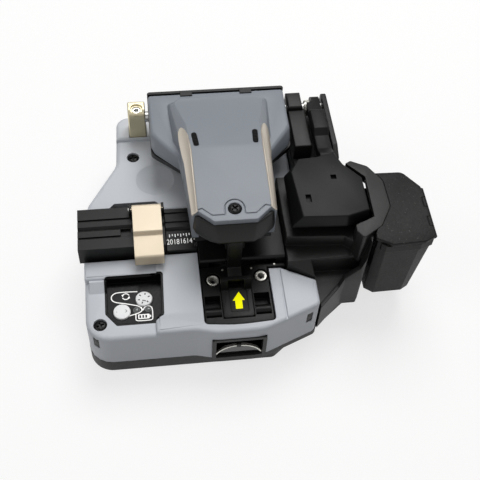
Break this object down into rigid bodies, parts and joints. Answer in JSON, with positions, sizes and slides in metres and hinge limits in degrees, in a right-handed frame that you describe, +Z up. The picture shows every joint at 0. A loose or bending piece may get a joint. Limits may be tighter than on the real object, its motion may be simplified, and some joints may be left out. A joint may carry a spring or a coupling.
{
  "type": "fibre cleaver",
  "caption": "Bench optical fibre cleaver: hinged pressing lever, rotary blade on a carriage, sliding fibre holder with clamp, roller scrap collector and lidded bin.",
  "frame": {"origin": "middle of the footprint, on the bench under the feet", "axes": "+X along the fibre from the holder to the scrap bin, +Y to the hinge at the rear, +Z up"},
  "size_m": [0.1203, 0.096, 0.0549],
  "materials": {
    "cover_grey": "satin",
    "black_plastic": "satin",
    "bin_black": "fine grain",
    "black_metal": "satin black",
    "black_screw": "black oxide",
    "steel": "bright",
    "carbide": "ground",
    "champagne": "satin anodised",
    "rubber": "matt",
    "white_plastic": "satin",
    "led_grey": "clear",
    "cast_alloy": "bead blasted",
    "board_green": "solder mask",
    "cell_silver": "foil"
  },
  "bodies": {
    "base": {"base_tray": "black_plastic", "rubber_feet": "rubber", "battery_cover": "black_plastic", "battery_cell": "cell_silver", "circuit_board": "board_green", "chassis": "cast_alloy", "slide_rail": "steel", "front_cover": "cover_grey", "rear_cover": "cover_grey", "cover_screws": "black_screw", "holder_deck": "black_metal", "holder_magnets": "steel", "clamp_base": "black_metal", "lower_clamps": "black_metal", "lower_clamp_pads": "rubber", "front_deck": "black_metal", "deck_screws": "steel", "panel_bezel": "black_plastic", "status_leds": "led_grey", "window_bezel": "black_plastic", "window_arch": "black_plastic", "window_rim": "steel", "hinge_bracket": "champagne", "hinge_set_screw": "steel", "hinge_shaft": "steel", "hinge_block": "black_metal", "right_housing": "black_plastic", "arm_spring": "steel"},
    "lever": {"lever_cover": "cover_grey", "lever_frame": "black_metal", "lever_trim_left": "champagne", "lever_trim_right": "champagne", "lever_inserts": "rubber", "lever_screw": "black_screw", "latch_hook": "black_metal", "upper_clamps": "black_metal", "upper_clamp_pads": "rubber", "anvil": "steel"},
    "carriage": {"slider_block": "cast_alloy", "blade_axle": "steel", "blade_motor": "steel"},
    "blade": {"blade_wheel": "carbide", "blade_gear": "steel"},
    "pinion": {"motor_pinion": "steel"},
    "latch": {"latch_slide": "black_metal"},
    "turn_key": {"turn_button": "white_plastic"},
    "link_key": {"link_button": "white_plastic"},
    "holder": {"adapter_block": "black_metal", "clamp_pin": "steel"},
    "flap": {"clamp_flap": "champagne", "clamp_pad": "rubber"},
    "arm": {"arm_cover": "black_plastic"},
    "lower_roller": {"drive_roller": "rubber"},
    "upper_roller": {"idler_roller": "rubber"},
    "bin": {"bin_body": "bin_black", "bin_lid_pin": "steel"},
    "lid": {"bin_lid": "bin_black"}
  },
  "joints": [
    {"name": "lever_hinge", "type": "hinge", "parent": "base", "child": "lever", "pos_m": [-0.00765, 0.03968, 0.036], "axis": [-1, 0, 0], "range_deg": [0, 60]},
    {"name": "blade_slide", "type": "slide", "parent": "base", "child": "carriage", "axis": [0, -1, 0], "range_m": [0, 0.0101]},
    {"name": "blade_spin", "type": "hinge", "parent": "carriage", "child": "blade", "pos_m": [-0.00765, -0.00133, 0.0215], "axis": [1, 0, 0], "continuous": true},
    {"name": "pinion_spin", "type": "hinge", "parent": "carriage", "child": "pinion", "pos_m": [-0.00765, 0.00387, 0.0215], "axis": [1, 0, 0], "continuous": true},
    {"name": "latch_travel", "type": "slide", "parent": "base", "child": "latch", "axis": [0, 1, 0], "range_m": [0, 0.003]},
    {"name": "turn_press", "type": "slide", "parent": "base", "child": "turn_key", "axis": [0, 0, -1], "range_m": [0, 0.0004], "stiffness_N_per_m": 500},
    {"name": "link_press", "type": "slide", "parent": "base", "child": "link_key", "axis": [0, 0, -1], "range_m": [0, 0.0004], "stiffness_N_per_m": 500},
    {"name": "holder_lift", "type": "slide", "parent": "base", "child": "holder", "axis": [0, 0, 1], "range_m": [0, 0.02]},
    {"name": "flap_hinge", "type": "hinge", "parent": "holder", "child": "flap", "pos_m": [-0.03565, -0.00072, 0.0324], "axis": [-1, 0, 0], "range_deg": [0, 100]},
    {"name": "arm_hinge", "type": "hinge", "parent": "base", "child": "arm", "pos_m": [0.02935, 0.03968, 0.036], "axis": [-1, 0, 0], "range_deg": [0, 50]},
    {"name": "drive_spin", "type": "hinge", "parent": "base", "child": "lower_roller", "pos_m": [0.02135, -0.00632, 0.0244], "axis": [0, 1, 0], "continuous": true},
    {"name": "idler_spin", "type": "hinge", "parent": "arm", "child": "upper_roller", "pos_m": [0.02135, -0.00632, 0.0346], "axis": [0, 1, 0], "continuous": true},
    {"name": "bin_pull", "type": "slide", "parent": "base", "child": "bin", "axis": [1, 0, 0], "range_m": [0, 0.02]},
    {"name": "lid_hinge", "type": "hinge", "parent": "bin", "child": "lid", "pos_m": [0.05905, -0.01632, 0.0409], "axis": [0, 1, 0], "range_deg": [0, 100]}
  ],
  "couplings": [
    {"joint": "blade_slide", "follows": "lever_hinge", "m_per_rad": 0.0095493},
    {"joint": "pinion_spin", "follows": "blade_spin", "ratio": -1.6},
    {"joint": "idler_spin", "follows": "drive_spin", "ratio": -1}
  ]
}
